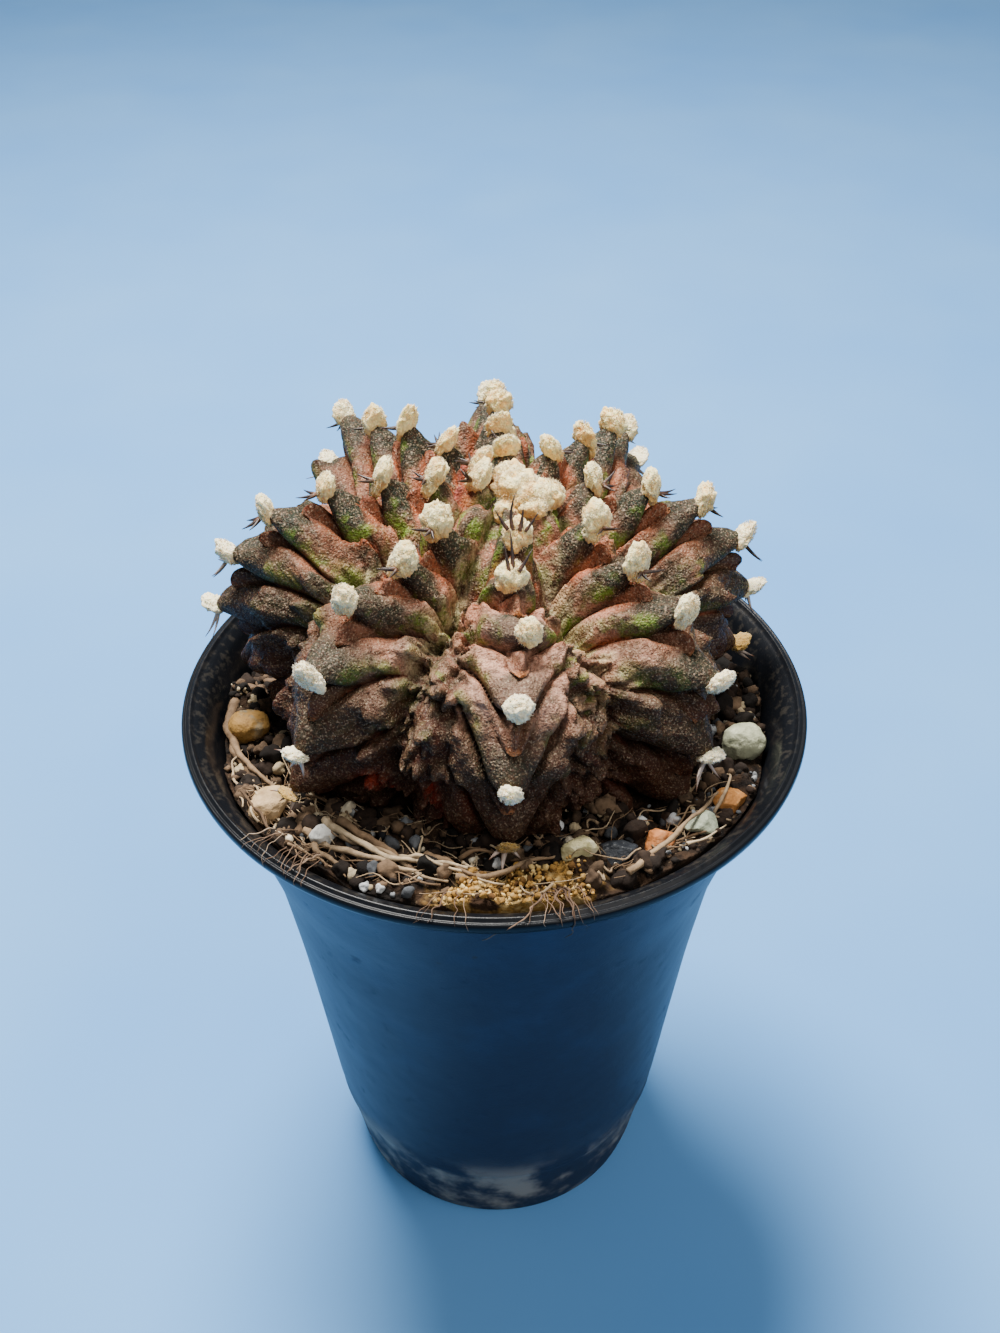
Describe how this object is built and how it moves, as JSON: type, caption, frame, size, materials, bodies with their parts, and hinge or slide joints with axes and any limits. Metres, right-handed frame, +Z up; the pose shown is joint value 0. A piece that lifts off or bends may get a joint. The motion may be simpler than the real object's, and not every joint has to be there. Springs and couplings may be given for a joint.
{
  "type": "potted t-rex gymnocalycium",
  "caption": "Ribbed globular chin cactus with woolly areoles and short spines, standing in gritty potting mix in a tall flared round nursery pot.",
  "frame": {"origin": "centre of the pot's foot, on the surface that it stands on", "axes": "+Z up along the pot's axis; -Y is the plant's front, which the lowest rib faces; +X to its right"},
  "size_m": [0.08, 0.08, 0.1171],
  "materials": {
    "pot_plastic": "thin vacuum-formed plastic, dark blue-black, satin, with limescale near the foot",
    "potting_mix": "dry gritty mix of bark, pumice crumbs and dead roots, dull",
    "cactus_skin": "finely grained olive brown skin, pink on the chins and dark red in the grooves, low satin",
    "wool": "dense cream wool felt, dull",
    "stone_ochre_left": "dry rough stone",
    "stone_tan_left": "dry rough stone",
    "stone_pale_disc": "dry rough stone",
    "stone_amber_right": "dry rough stone",
    "stone_grey_right": "dry rough stone",
    "stone_orange_front": "dry rough stone",
    "stone_charcoal_front": "dry rough stone",
    "stone_yellow_front": "dry rough stone",
    "stone_white_front": "dry rough stone",
    "stone_grey_back": "dry rough stone"
  },
  "bodies": {
    "root": {"pot": "pot_plastic", "potting_mix": "potting_mix", "cactus": "cactus_skin", "crown_wool": "wool", "stone_ochre_left": "stone_ochre_left", "stone_tan_left": "stone_tan_left", "stone_pale_disc": "stone_pale_disc", "stone_amber_right": "stone_amber_right", "stone_grey_right": "stone_grey_right", "stone_orange_front": "stone_orange_front", "stone_charcoal_front": "stone_charcoal_front", "stone_yellow_front": "stone_yellow_front", "stone_white_front": "stone_white_front", "stone_grey_back": "stone_grey_back"}
  },
  "joints": []
}
